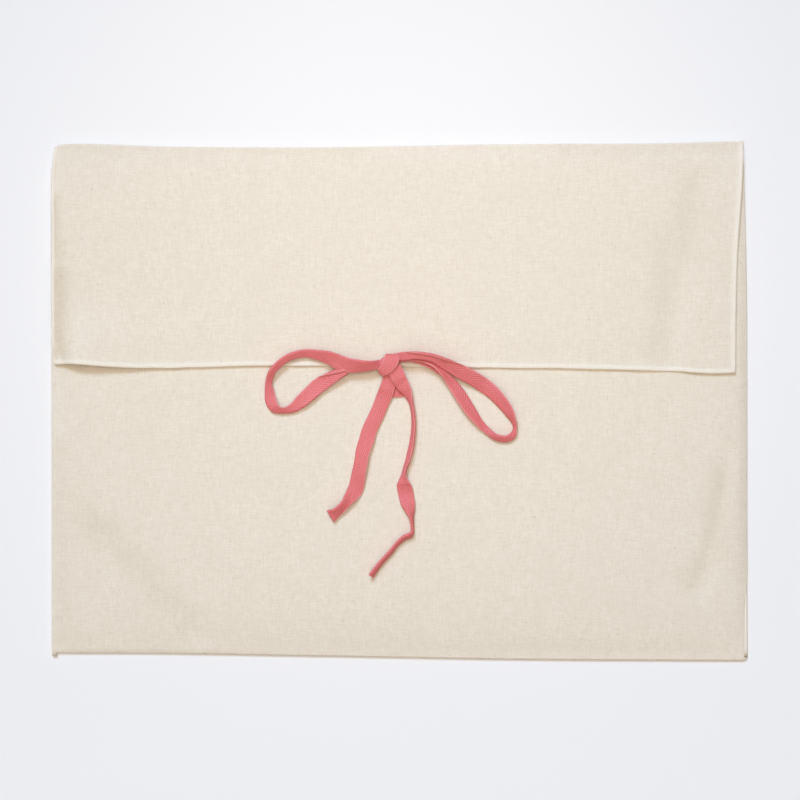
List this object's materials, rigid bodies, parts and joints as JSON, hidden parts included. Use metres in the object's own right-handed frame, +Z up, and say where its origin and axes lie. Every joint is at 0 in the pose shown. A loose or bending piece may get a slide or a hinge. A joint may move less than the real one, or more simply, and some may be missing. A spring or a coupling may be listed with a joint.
{
  "type": "fabric envelope pouch",
  "caption": "Flat calico envelope pouch lying face up, its wide flap folded down over the pocket and closed by a soft bow of pink twill tape.",
  "frame": {"origin": "on the resting plane, under the middle of the pouch's box", "axes": "+X across the pouch's width, to the right as seen from its face; +Y in the pouch's plane towards its top fold; +Z up, out of its face"},
  "size_m": [0.4508, 0.336, 0.0163],
  "materials": {
    "calico": "matte unbleached plain-weave cotton with slubs and tiny brown seed flecks",
    "twill_tape": "matte pink herringbone cotton tape with smooth selvedges"
  },
  "bodies": {
    "root": {"envelope": "calico", "tie_flap": "twill_tape", "tie_front": "twill_tape"}
  },
  "joints": []
}
